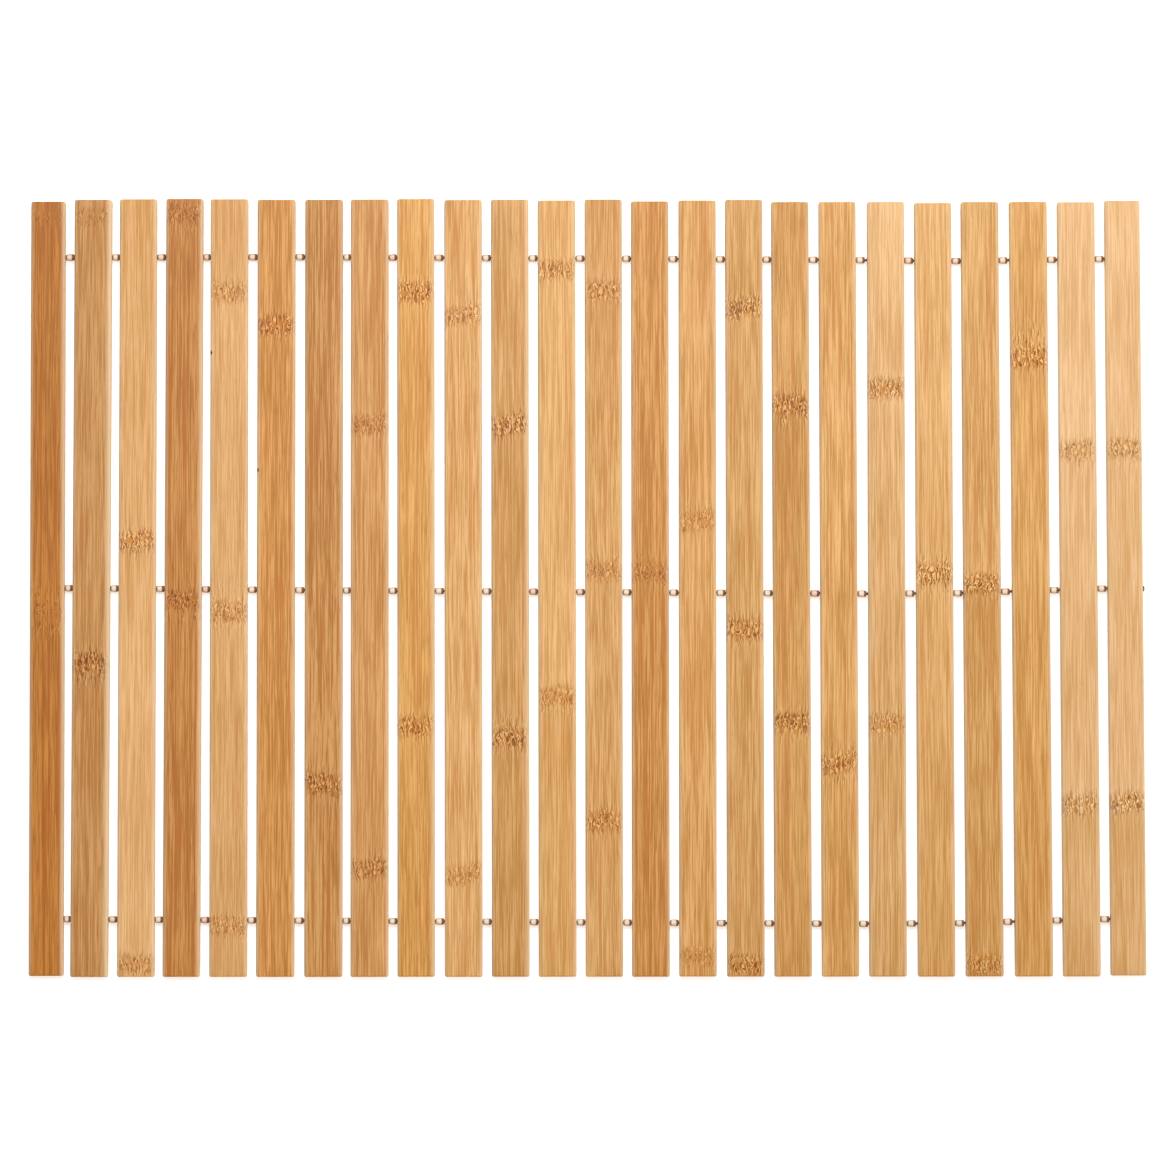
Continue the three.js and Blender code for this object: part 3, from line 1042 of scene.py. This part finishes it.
def bead_material(colours):
    """Pale turned wood, each bead in a slightly different tone, brown at its ends from end grain and
    painted shade, with painted shade where its sides turn away
    """
    material, tree, shader = new_material("bead wood")
    calc = calculator(tree)
    tone = attribute(tree, "bead_tone", "Fac")
    turning = attribute(tree, "turning", "Vector")
    vectors = vector_calculator(tree)
    place = vectors("ADD", vectors("MULTIPLY", turning, BEAD_GRAIN), scaled(tree, (40, 0, 0), tone))
    fibre = ramp(tree, noise_at(tree, place, 2.0), 0.35, 0.65)
    wood = blend_colours(tree, ramp(tree, tone, 0.55, 1.0), light_of(colours.bead, CREAM),
                         light_of(colours.bead, PINK))
    wood = blend_colours(tree, calc("MULTIPLY", fibre, 0.4), wood, light_of(colours.bead, BEAD_FIBRE))
    z = split(tree, turning)[2]
    # Brown ends: partly end grain, partly painted shade from the slats beside the bead
    shaded_rims = [calc("MULTIPLY", ramp(tree, z, shaded_rim.start, shaded_rim.full), shaded_rim.share) for shaded_rim in SHADED_RIMS]
    # Painted shade: darker brown where a bead's side turns away from the view
    outline_shade = add_node(tree, "ShaderNodeLayerWeight", {"Blend": 0.4}).outputs["Facing"]
    for share in (calc("MAXIMUM", *shaded_rims), calc("MULTIPLY", outline_shade, OUTLINE_SHADE_SHARE)):
        wood = blend_colours(tree, share, wood, light_of(colours.bead_end_and_shade))
    join_shader(tree, shader, wood, calc("MULTIPLY_ADD", fibre, 0.15, 0.45), fibre, 0.04 * MM)
    shader.inputs["Specular IOR Level"].default_value = 0.25
    return material


# The cords

def cord_tree():
    """A cord of three twisted strands along each line. The lines' points say how thick it is."""
    tree, given, result = new_tree(
        "twisted cord", "Geometry",
        {"Geometry": ("Geometry",), "Float": ("Radius", "Twist", "Step"), "Material": ("Finish",)},
        {"Geometry": ("Geometry",)})
    calc = calculator(tree)
    line = add_node(tree, "GeometryNodeMeshToCurve", {"Mesh": given["Geometry"]})
    fine = add_node(tree, "GeometryNodeResampleCurve",
                    {"Curve": line.outputs[0], "Length": given["Step"]}, mode="LENGTH")
    length = add_node(tree, "GeometryNodeSplineParameter").outputs["Length"]
    turn = calc("MULTIPLY", calc("DIVIDE", length, given["Twist"]), 2 * math.pi)
    twisted = add_node(tree, "GeometryNodeSetCurveTilt", {"Curve": fine.outputs[0], "Tilt": turn})

    strands = 3
    strand_sides = 8
    strand_share = 1 / (1 + 2 / math.sqrt(3))
    section = add_node(tree, "GeometryNodeJoinGeometry")
    for index in range(strands):
        angle = 2 * math.pi * index / strands
        circle = add_node(tree, "GeometryNodeCurvePrimitiveCircle",
                          {"Resolution": strand_sides,
                           "Radius": calc("MULTIPLY", given["Radius"], strand_share)})
        offset = calc("MULTIPLY", given["Radius"], 1 - strand_share)
        place = vector_of(tree, calc("MULTIPLY", offset, math.cos(angle)),
                          calc("MULTIPLY", offset, math.sin(angle)), 0.0)
        tree.links.new(transformed(tree, circle.outputs[0], Translation=place), section.inputs[0])
    swept = add_node(tree, "GeometryNodeCurveToMesh", {
        "Curve": twisted.outputs[0], "Profile Curve": section.outputs[0],
        "Scale": number_at(tree, "thickness"), "Fill Caps": True})
    finish_tree(tree, swept.outputs[0], given["Finish"], result)
    return tree


KNOT_THICKNESS = 0.62    # of the cord's own, where it is pulled tight
KNOT_POINTS = 60
KNOT_ROOM = 0.7 * MM     # round the knot in its seat
KNOT_PLAY = 0.2 * MM     # at each end of the knot
CORD_STEP = 0.6 * MM     # between the sections of a strand
CORD_TAIL = 0.6 * MM     # how far a cord's run stops short of the tips of its knots


def knot_line(tip, side, sizes):
    """The closed line of an overhand knot whose outermost point is at tip"""
    strand = sizes.cord_radius * KNOT_THICKNESS
    lobe = (sizes.knot_seat_radius - KNOT_ROOM - strand) / 3
    depth = sizes.knot_length / 2 - strand - KNOT_PLAY
    middle = tip - Vector((side * (depth + strand), 0, 0))
    points = []
    for index in range(KNOT_POINTS):
        t = 2 * math.pi * index / KNOT_POINTS
        y = lobe * (math.sin(t) + 2 * math.sin(2 * t))
        z = lobe * (math.cos(t) - 2 * math.cos(2 * t))
        points.append(middle + Vector((-depth * math.sin(3 * t), y, z)))
    return points


def cord_lines(cord, sizes):
    """A mesh of the lines that a cord follows: its run through the mat, and its two knots"""
    route = [point.copy() for point in ROUTES[cord]]
    knots = [knot_line(route[0], -1, sizes), knot_line(route[-1], 1, sizes)]
    route[0].x += CORD_TAIL
    route[-1].x -= CORD_TAIL
    points, edges, thickness = [], [], []
    for line, is_knot in ((route, False), (knots[0], True), (knots[1], True)):
        first = len(points)
        points += line
        edges += [(first + i, first + i + 1) for i in range(len(line) - 1)]
        if is_knot:
            edges.append((len(points) - 1, first))
        thickness += [KNOT_THICKNESS if is_knot else 1.0] * len(line)
    return mesh_of(cord + " lines", points, edges, "thickness", thickness)


HAIRS_PER_METRE = (900, 2600, 2600)    # along X, Y and Z


def cord_material(colours):
    """Brown spun thread with paler hairs"""
    material, tree, shader = new_material("brown cord")
    calc = calculator(tree)
    place = add_node(tree, "ShaderNodeTexCoord").outputs["Object"]
    hair_place = vector_calculator(tree)("MULTIPLY", place, HAIRS_PER_METRE)
    hairs = ramp(tree, noise_at(tree, hair_place, 2.0), 0.35, 0.68)
    colour = blend_colours(tree, hairs, light_of(colours.cord, (0.7, 0.65, 0.6)),
                           light_of(colours.cord, (1.5, 1.5, 1.5)))
    join_shader(tree, shader, colour, calc("MULTIPLY_ADD", hairs, 0.1, 0.75), hairs, 0.08 * MM)
    shader.inputs["Sheen Weight"].default_value = 0.15
    return material


# The stage

def aimed_at(thing, target):
    """Turns a lamp or camera so that it looks at a point, with +Y upwards in the picture"""
    thing.rotation_euler = (Vector(target) - thing.location).to_track_quat("-Z", "Y").to_euler()


def make_floor(stage, low_z):
    half = stage.floor_size / 2
    gap = 0.05 * MM
    mesh = bpy.data.meshes.new("floor")
    corners = [(-half, -half), (half, -half), (half, half), (-half, half)]
    mesh.from_pydata([(x, y, low_z - gap) for x, y in corners], [], [(0, 1, 2, 3)])
    floor = add_object("floor", mesh)
    material, _, shader = new_material("pale floor")
    shader.inputs["Base Color"].default_value = light_of(stage.floor_colour)
    shader.inputs["Roughness"].default_value = 0.9
    shader.inputs["Specular IOR Level"].default_value = 0.1
    shader.inputs["Emission Color"].default_value = light_of(stage.floor_colour)
    shader.inputs["Emission Strength"].default_value = stage.floor_glow
    mesh.materials.append(material)


def add_lamp(name, lamp, heading, height, distance):
    """Puts a lamp at a compass heading and a height above the floor, in degrees, facing the mat"""
    thing = add_object(name, lamp)
    heading, height = math.radians(heading), math.radians(height)
    thing.location = distance * Vector((
        math.sin(heading) * math.cos(height), math.cos(heading) * math.cos(height), math.sin(height)))
    aimed_at(thing, (0, 0, 0))
    thing.visible_camera = False


def make_sun(name, share, heading, height, spread):
    """A soft lamp that gives the floor that share of full light, wherever it stands in its line"""
    lamp = bpy.data.lights.new(name, "SUN")
    lamp.angle = math.radians(spread)
    lamp.energy = share * math.pi / math.sin(math.radians(height))
    add_lamp(name, lamp, heading, height, distance=3.0)


def make_softbox(name, share, heading, height, distance, size):
    """A square lamp that gives the middle of the mat that share of full light, and less farther off"""
    lamp = bpy.data.lights.new(name, "AREA")
    lamp.size = size
    lamp.energy = share * (math.pi * distance) ** 2 / math.sin(math.radians(height))
    add_lamp(name, lamp, heading, height, distance)


def make_sky(strength):
    """Even white light from all round, which the camera sees as the floor's white"""
    world = bpy.data.worlds.new("soft white room")
    world.use_nodes = True
    tree = world.node_tree
    background = tree.nodes["Background"]
    background.inputs["Color"].default_value = (1, 1, 1, 1)
    seen = add_node(tree, "ShaderNodeLightPath").outputs["Is Camera Ray"]
    tree.links.new(ramp(tree, seen, 0.0, 1.0, strength, 1.0), background.inputs["Strength"])
    bpy.context.scene.world = world


CAMERA_AIM = (0.6 * MM, -1.25 * MM)    # where the middle of the picture falls on the mat


def make_camera(stage):
    target = Vector((*CAMERA_AIM, CAD_BOX[1].z))
    lens = bpy.data.cameras.new("camera")
    lens.sensor_width = 36
    lens.lens = stage.camera_lens
    camera = add_object("camera", lens)
    back = Vector((0, -math.sin(stage.camera_tilt), math.cos(stage.camera_tilt)))
    camera.location = target + back * stage.camera_distance
    aimed_at(camera, target)
    bpy.context.scene.camera = camera


# What a user can press

class BAMBOO_OT_stage(bpy.types.Operator):
    """Make the floor, the light and the camera"""
    bl_idname = "bamboo_mat.stage"
    bl_label = "Stage"

    def execute(self, context):
        stage = context.scene.mat_stage
        make_floor(stage, CAD_BOX[0].z)
        make_softbox("key light", stage.key, heading=0, height=66, distance=2.1, size=1.1)
        make_sun("side light", stage.side, heading=95, height=40, spread=40)
        make_sky(stage.sky)
        make_camera(stage)
        context.scene.view_settings.view_transform = "Standard"
        return {"FINISHED"}


class BAMBOO_OT_cords(bpy.types.Operator):
    """Make the three twisted cords with their knots"""
    bl_idname = "bamboo_mat.cords"
    bl_label = "Cords and Knots"

    def execute(self, context):
        sizes = context.scene.mat_sizes
        tree = cord_tree()
        finish = cord_material(context.scene.mat_colours)
        for cord in CORD_NAMES:
            values = {"Radius": sizes.cord_radius, "Twist": sizes.cord_twist, "Step": CORD_STEP,
                      "Finish": finish}
            piece = make_piece("twisted_" + cord, tree, values, cord_lines(cord, sizes))
            piece.data.shade_smooth()
            dress(piece, cord)
        return {"FINISHED"}


class BAMBOO_OT_beads(bpy.types.Operator):
    """Thread a wooden bead on each cord in every gap"""
    bl_idname = "bamboo_mat.beads"
    bl_label = "Beads"

    def execute(self, context):
        sizes = context.scene.mat_sizes
        tree = bead_tree()
        finish = bead_material(context.scene.mat_colours)
        for index, cord in enumerate(CORD_NAMES):
            values = {"Length": sizes.bead_length, "Radius": sizes.bead_radius,
                      "End Radius": sizes.bead_end_radius, "Hole Radius": sizes.bead_hole_radius,
                      "Seed": 10 * index + 3, "Finish": finish}
            piece = make_piece("beads_" + cord, tree, values, bead_points(cord, sizes))
            piece.data.shade_smooth()
            dress(piece, cord)
        return {"FINISHED"}


class BAMBOO_OT_slats(bpy.types.Operator):
    """Make the bamboo slats, each with its own tone, fibres and joints"""
    bl_idname = "bamboo_mat.slats"
    bl_label = "Slats"

    def execute(self, context):
        if len(SLATS) != len(SLAT_LOOKS):
            raise RuntimeError(f"there are {len(SLATS)} slats and looks for {len(SLAT_LOOKS)}")
        tree = slat_tree()
        for number in range(len(SLATS)):
            make_slat(number, tree, context)
        return {"FINISHED"}


class BAMBOO_PT_panel(bpy.types.Panel):
    """The mat's pieces and settings"""
    bl_idname = "BAMBOO_PT_panel"
    bl_label = "Slatted Bamboo Mat"
    bl_space_type = "VIEW_3D"
    bl_region_type = "UI"
    bl_category = "Mat"

    def draw(self, context):
        layout = self.layout
        for operator in OPERATORS:
            layout.operator(operator.bl_idname)
        for name in SETTINGS:
            group = getattr(context.scene, name)
            for key in group.bl_rna.properties.keys():
                if key not in ("rna_type", "name"):
                    layout.prop(group, key)


OPERATORS = (BAMBOO_OT_stage, BAMBOO_OT_cords, BAMBOO_OT_beads, BAMBOO_OT_slats)
SETTINGS = {"mat_sizes": MatSizes, "mat_colours": MatColours, "mat_finish": MatFinish,
            "mat_stage": MatStage}


def register():
    for item in (*SETTINGS.values(), *OPERATORS, BAMBOO_PT_panel):
        bpy.utils.register_class(item)
    for name, group in SETTINGS.items():
        setattr(bpy.types.Scene, name, PointerProperty(type=group))


def unregister():
    for name in SETTINGS:
        delattr(bpy.types.Scene, name)
    for item in reversed((*SETTINGS.values(), *OPERATORS, BAMBOO_PT_panel)):
        bpy.utils.unregister_class(item)


def main():
    register()
    bpy.ops.bamboo_mat.stage()
    bpy.ops.bamboo_mat.cords()
    bpy.ops.bamboo_mat.beads()
    bpy.ops.bamboo_mat.slats()


if __name__ == "__main__":
    main()
